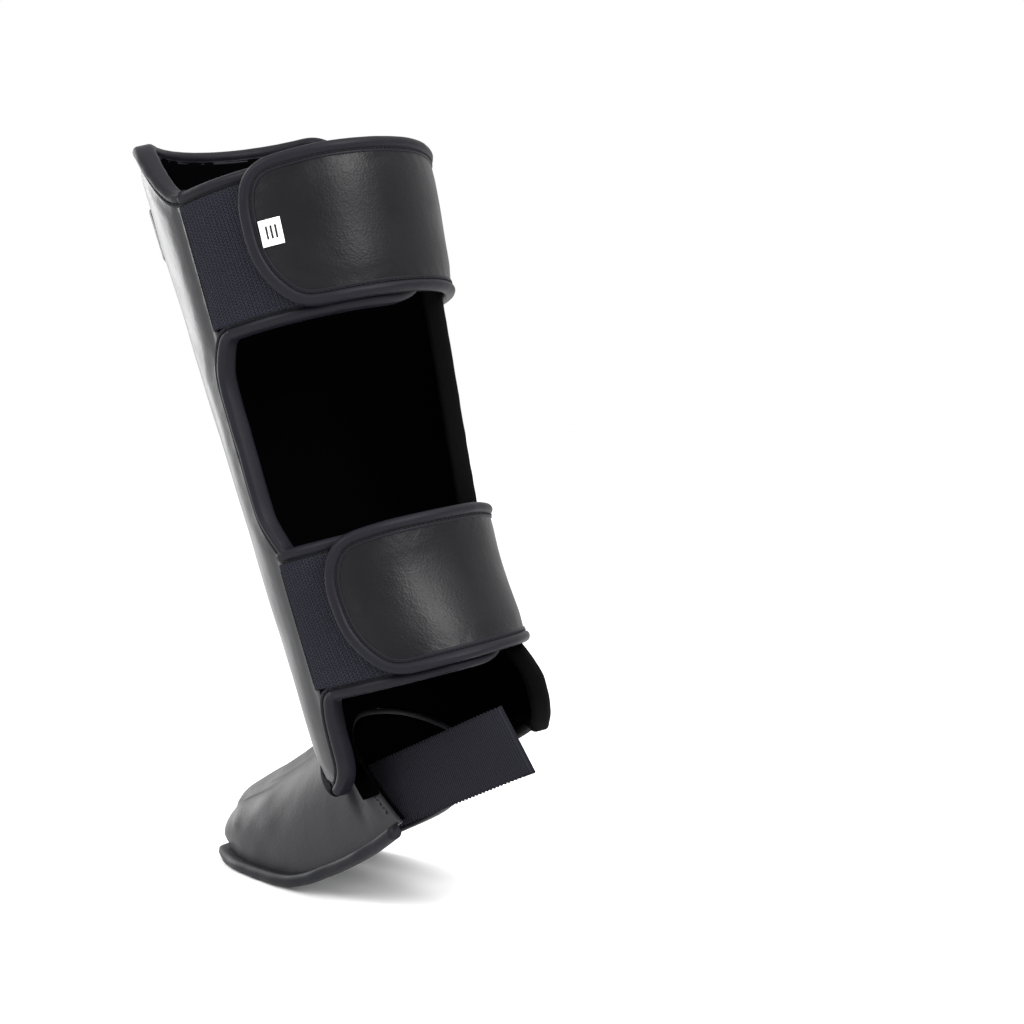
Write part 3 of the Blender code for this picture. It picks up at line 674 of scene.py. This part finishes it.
def build_strap(level):
    low, high = STRAPS[level]
    body = level + "_strap"
    u, v = grid_uv(210, 90)
    s = mix(low, high, v)
    theta = mix(strap_end(level, s) - 0.8, FAR_ROOT + 1.0, u)
    s = strap_height(level, theta, v) + 1.4 * (2.0 * v - 1.0)
    length = np.radians(theta) * radius_at(s)
    rim = np.minimum(u * 170.0, np.minimum(v, 1.0 - v) * 74.0)
    puff = 0.9 * smooth(rim / 14.0) - 0.25
    seed = 31 if level == "upper" else 41
    uneven = 0.30 * ripple(length, s, seed, 55.0) * smooth(rim / 16.0)
    pucker = 0.20 * np.exp(-rim / 6.0) * ripple(length, s, seed + 1, 8.0)
    outer = ring(theta, s, STRAP_OFFSET + puff + uneven + pucker)
    band = slab(body + "_leather", outer, ring(theta, s, STRAP_OFFSET - STRAP), MATERIALS["strap_leather"])
    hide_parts(body + "_panel")

    u, v = grid_uv(60, 50)
    s = mix(low + 8.0, high - 8.0, v)
    theta = mix(strap_end(level, s) + 3.0, 176.0, u)
    hook = slab(level + "_hook_fabric", ring(theta, s, STRAP_OFFSET - STRAP - 0.1),
                ring(theta, s, STRAP_OFFSET - STRAP - 1.8), MATERIALS["hook"])
    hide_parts(level + "_hook_patch")

    long, tall = np.linspace(FAR_ROOT, strap_end(level, high), 70), np.linspace(high, low, 50)
    path = [(x, float(strap_height(level, x, 1.0))) for x in long]
    path += [(float(strap_end(level, x)), x) for x in tall[1:-1]]
    path += [(x, low) for x in np.linspace(strap_end(level, low), FAR_ROOT, 70)]
    edge = Edge(path, 24)
    strip = binding(body + "_binding_folded", edge, STRAP_OFFSET, STRAP, STRAP_REACH, seed + 2)
    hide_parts(body + "_binding")
    sewn = stitching(body + "_stitches", edge, STRAP_OFFSET, STRAP_REACH)
    pieces = [band, hook, strip, sewn]

    if level == "upper":
        u, v = grid_uv(14, 18)
        theta, s = mix(130.0, 138.2, u), mix(297.0, 311.0, v)
        lift = STRAP_OFFSET + 1.25 + 0.15 * ripple(theta * 1.3, s, 51, 9.0)
        tab = slab("size_tab", ring(theta, s, lift), ring(theta, s, lift - 0.5), MATERIALS["label"])
        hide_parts("size_label")
        pieces.append(tab)
        for k in range(3):
            u, v = grid_uv(4, 8)
            theta = mix(132.2 + 1.7 * k, 132.9 + 1.7 * k, u)
            s = mix(300.5, 307.5, v)
            bar = slab("size_tab_bar_%d" % (k + 1), ring(theta, s, STRAP_OFFSET + 1.65),
                       ring(theta, s, STRAP_OFFSET + 1.2), MATERIALS["mark"])
            pieces.append(bar)
    for obj in pieces:
        bend_from_shin(obj)


# ---- instep guard ------------------------------------------------------------------------------------------
# From the toe to the heel: middle x, rim half width, rim y, rim z, crest y, crest z. x and y are measured
# from the axis's foot. The first three columns were worked out by a scratch script, which turned a table
# chosen by hand into this stance.
STATIONS = np.array([
    (-9.0, 28.8, -162.4, 7.9, -170.9, 22.0),
    (-9.2, 36.7, -148.4, 7.9, -161.8, 33.0),
    (-8.7, 43.2, -128.5, 7.9, -145.9, 45.0),
    (-8.1, 47.6, -99.5, 8.2, -119.8, 58.0),
    (-7.6, 50.1, -64.0, 10.5, -89.6, 73.0),
    (-6.5, 49.5, -31.5, 22.0, -62.0, 91.0),
    (-4.6, 47.1, 1.3, 37.5, -50.0, 99.0),
    (-2.7, 45.6, 25.9, 52.5, -42.0, 104.0),
])
CREST_SHIFT = 9.0                     # the crest lies this far to the +X side of the rim's middle
FAR_RISE, FAR_PULL = 24.0, 26.0       # the far flap's rim ends this much higher, and nearer the toe
INSTEP_PAD = 7.0
# Section of the folded rim: (mm outwards, mm up) from the rim's line.
RIM_PROFILE = np.array([
    (-0.4, 1.6), (0.75, 1.5), (0.95, 0.9), (0.35, 0.35), (0.3, 0.0), (1.1, -0.35), (1.8, -1.2), (2.1, -2.5),
    (1.8, -3.8), (0.9, -4.9), (-1.0, -5.3), (-3.6, -5.3), (-5.6, -4.6), (-6.8, -3.2), (-7.2, -1.2),
    (-7.0, 1.0), (-4.0, 2.0),
])
REAR_STITCHES = 26


def station(v):
    last = len(STATIONS) - 1
    x = np.clip(v, 0.0, 1.0) * last
    i = np.minimum(x.astype(int), last - 1)
    f = (x - i)[..., None]
    a, b = STATIONS[np.maximum(i - 1, 0)], STATIONS[i]
    c, d = STATIONS[i + 1], STATIONS[np.minimum(i + 2, last)]
    rows = b + 0.5 * f * (c - a + f * (2.0 * a - 5.0 * b + 4.0 * c - d + f * (3.0 * (b - c) + d - a)))
    return np.moveaxis(rows, -1, 0)


def rim_height(rim_z, v, across):
    """Height of the rim, across being 1 on the near side and -1 on the far side."""
    return rim_z + FAR_RISE * smooth((v - 0.25) / 0.36) * smooth(0.5 - across)


def rim_place(rim_y, v, across):
    """The rim's y, across as in rim_height."""
    return rim_y - FAR_PULL * smooth((v - 0.4) / 0.55) * smooth(0.5 - across)


def instep_centre(u, v):
    u, v = np.broadcast_arrays(np.asarray(u, float), np.asarray(v, float))
    middle, half, rim_y, rim_z, crest_y, crest_z = station(v)
    turn = math.pi * (1.0 - u)
    across, rise = np.cos(turn), np.maximum(np.sin(turn), 0.0)
    across = np.copysign(np.abs(across) ** 0.88, across)
    rise = rise ** 0.92
    rim_z = rim_height(rim_z, v, across)
    x = FOOT[0] + middle + half * across + CREST_SHIFT * rise
    y = FOOT[1] + mix(rim_place(rim_y, v, across), crest_y, rise)
    return np.stack([x, y, mix(rim_z, crest_z, rise)], -1) / 1000.0


def instep(u, v, offset=0.0):
    """Points offset outwards from the instep's leather face; u runs across from -X to +X, v from the toe."""
    step = 0.004
    along = instep_centre(u, np.minimum(v + step, 1.0)) - instep_centre(u, np.maximum(v - step, 0.0))
    over = instep_centre(np.minimum(u + step, 1.0), v) - instep_centre(np.maximum(u - step, 0.0), v)
    normal = np.cross(over, along)
    normal /= np.linalg.norm(normal, axis=-1)[..., None]
    return instep_centre(u, v) + normal * np.asarray(offset)[..., None] / 1000.0


def build_instep():
    u, v = grid_uv(180, 150)
    a, b = u * 150.0, v * 180.0
    side = np.abs(u - 0.5)
    ridge = smooth((0.150 - side) / 0.05) * smooth((v - 0.08) / 0.08) * smooth((0.70 - v) / 0.10)
    shape = 3.4 * ridge + 0.35 * ripple(a, b, 61, 60.0) + 0.12 * ripple(a, b, 62, 20.0)
    for mirror in (1.0, -1.0):
        x = 75.0 + (a - 75.0) * mirror
        shape += fold(x, b, (98.0, 22.0), (104.0, 95.0), 4.0, -1.5)
        shape += fold(x, b, (100.0, 60.0), (135.0, 52.0), 6.0, 0.7)
        shape += fold(x, b, (102.0, 84.0), (140.0, 88.0), 7.0, 0.6)
        shape += fold(x, b, (90.0, 166.0), (150.0, 158.0), 3.0, -2.2)
        shape += fold(x, b, (92.0, 173.0), (150.0, 168.0), 3.5, 1.4)
        shape += fold(x, b, (96.0, 40.0), (112.0, 34.0), 3.5, -1.0)
    outer = instep(u, v, shape)
    drop = 2.6 * smooth((side - 0.46) / 0.04) * smooth((0.9 - v) / 0.1)
    outer[..., 2] -= drop / 1000.0
    inner = instep(u, v, np.full(u.shape, -INSTEP_PAD / 2.0))
    cover = slab("instep_guard_leather", outer, inner, MATERIALS["instep_leather"])
    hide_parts("instep_cover", "instep_foam_core", "instep_ridge_pad")
    u, v = grid_uv(80, 70)
    within = mix(0.006, 0.994, u), mix(0.01, 0.995, v)
    lining = slab("instep_inner_lining", instep(*within, np.full(u.shape, -INSTEP_PAD / 2.0 - 0.1)),
                  instep(*within, np.full(u.shape, -INSTEP_PAD)), MATERIALS["lining"])
    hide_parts("instep_lining")

    v = np.linspace(1.0, 0.0, 60)
    middle, half, rim_y, rim_z, tip_y, _ = station(v)
    near = np.stack([middle + half, rim_y, rim_height(rim_z, v, 1.0)], -1)
    far = np.stack([middle - half, rim_place(rim_y, v, -1.0), rim_height(rim_z, v, -1.0)], -1)
    turn = np.linspace(0.0, math.pi, 40)[1:-1]
    front = np.stack([middle[-1] + half[-1] * np.cos(turn),
                      rim_y[-1] - (rim_y[-1] - tip_y[-1]) * np.sin(turn), np.full(turn.shape, rim_z[-1])], -1)
    path = even(np.concatenate([near, front, far[::-1]]), EDGE_STEP)
    path = soften(path, 12) + (FOOT[0], FOOT[1], -2.6)
    path[:, 2] = np.maximum(path[:, 2], 5.3)
    along = np.gradient(path, axis=0)
    out = np.cross(along, (0.0, 0.0, 1.0))
    out /= np.linalg.norm(out, axis=1)[:, None]
    length = np.arange(len(path))[:, None] * EDGE_STEP
    swell = 1.0 + 0.05 * ripple(length, RIM_PROFILE[None, :, 1] * 3.0, 71, 22.0)
    points = path[:, None] + out[:, None] * RIM_PROFILE[None, :, :1] * swell[..., None]
    points[..., 2] += RIM_PROFILE[:, 1]
    around = np.concatenate([[0.0], np.cumsum(np.hypot(*np.diff(RIM_PROFILE, axis=0).T))])
    uv = np.stack(np.broadcast_arrays(length, around[None]), -1)
    rim = capped_tube("instep_rim_folded", points / 1000.0, MATERIALS["binding"], uv)
    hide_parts("instep_rim_binding")

    rows = []
    for side in (0.0, 1.0):
        across = np.abs(side - np.linspace(0.03, 0.30, REAR_STITCHES))
        place = np.full(REAR_STITCHES, 0.985)
        centres = instep(across, place, np.full(REAR_STITCHES, 0.25))
        raised = centres - instep(across, place, np.full(REAR_STITCHES, -1.0))
        step = np.gradient(centres, axis=0)
        rear = np.cross(step, raised)
        zig = np.where(np.arange(REAR_STITCHES) % 2 == 0, 1.0, -1.0)[:, None]
        direction = step / np.linalg.norm(step, axis=1)[:, None] + 0.8 * zig * rear / np.linalg.norm(
            rear, axis=1)[:, None]
        direction /= np.linalg.norm(direction, axis=1)[:, None]
        up = raised - direction * (raised * direction).sum(1)[:, None]
        up /= np.linalg.norm(up, axis=1)[:, None]
        rows.append((centres, direction, up))
    sewn = dashes("instep_rear_stitches", *(np.concatenate(parts) for parts in zip(*rows)), 0.0026, 0.0008,
                  MATERIALS["thread"])
    for obj in (cover, lining, rim, sewn):
        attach(obj, "instep")

    u, v = grid_uv(90, 40)
    across = mix(0.10, 0.92, u)
    under, lip = instep(across, np.full(u.shape, 0.93), 1.7), instep(across, np.full(u.shape, 1.0), 1.4)
    lip[..., 1] += 0.002
    theta = mix(-88.0, 90.0, u)
    inside = ring(theta, shell_bottom(theta) + 22.0, -pad_thickness(theta) - 1.0)
    first, then = np.clip(v / 0.2, 0.0, 1.0)[..., None], np.clip((v - 0.2) / 0.8, 0.0, 1.0)[..., None]
    sheet = mix(mix(under, lip, first), inside, then)
    sheet[..., 1] += 0.006 * np.sin(v * math.pi)
    gusset = slab("ankle_gusset_fabric", sheet, sheet + (0.0, 0.0008, 0.0006), MATERIALS["lining"])
    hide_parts("ankle_hinge_strip")
    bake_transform(gusset)


# ---- heel loop ---------------------------------------------------------------------------------------------
HEEL_SEAM = ((2.0, -23.5), (-18.0, 9.5))
HEEL_FOLD = ((88.0, 13.0), (66.0, 46.5))
HEEL_SPREAD = (33.0, 24.0)
FAR_NARROWING, FAR_LIFT = 0.6, 4.5    # the far ply's sewn end lies further in, and higher
BAND_WIDTH, BAND_LENGTH = 40.0, 82.0  # one ply, as its rib pattern is laid out
BAND_THICKNESS = 1.3


def heel(side, along, across):
    seam = mix(*(np.array(p) for p in HEEL_SEAM), across[..., None])
    turned = mix(*(np.array(p) for p in HEEL_FOLD), across[..., None])
    place = mix(seam, turned, along[..., None])
    inside = np.clip(along, 0.0, 1.0)
    spread = mix(*HEEL_SPREAD, across) * np.where(side > 0.0, 1.0, FAR_NARROWING)
    half = spread * (1.0 - inside) ** 0.92 + 2.2 * np.sqrt(1.0 - inside ** 6)
    lift = np.where(side > 0.0, 0.0, FAR_LIFT) * (1.0 - inside)
    return leaning(side * half, place[..., 0], place[..., 1] + lift)


def build_heel_loop():
    u, v = grid_uv(720, 18)
    side = np.where(u > 0.5, 1.0, -1.0)
    along = mix(-0.06, 1.0, 1.0 - np.abs(2.0 * u - 1.0))
    length = along * BAND_LENGTH
    scallop = 0.010 * np.sin(length * 2.0 * math.pi / 1.9) * smooth((np.abs(2.0 * v - 1.0) - 0.9) / 0.1)
    wide = v + scallop * np.sign(v - 0.5)
    points = heel(side, along, wide)
    points[..., 0] += 0.35 * ripple(length, v * BAND_WIDTH, 81, 45.0) * smooth((1.0 - along) / 0.15)
    over = np.gradient(points, axis=0)
    up = np.gradient(points, axis=1)
    normal = np.cross(over, up)
    normal /= np.linalg.norm(normal, axis=-1)[..., None]
    uv = np.stack([u * 2.0 * BAND_LENGTH, v * BAND_WIDTH], -1)
    band = slab("heel_elastic_band", points / 1000.0, (points - normal * BAND_THICKNESS) / 1000.0,
                MATERIALS["elastic_webbing"], uv)
    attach(band, "heel_loop")
    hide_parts("heel_elastic")


build_shin()
for level in ("upper", "lower"):
    build_wing(level)
    build_strap(level)
build_instep()
build_heel_loop()
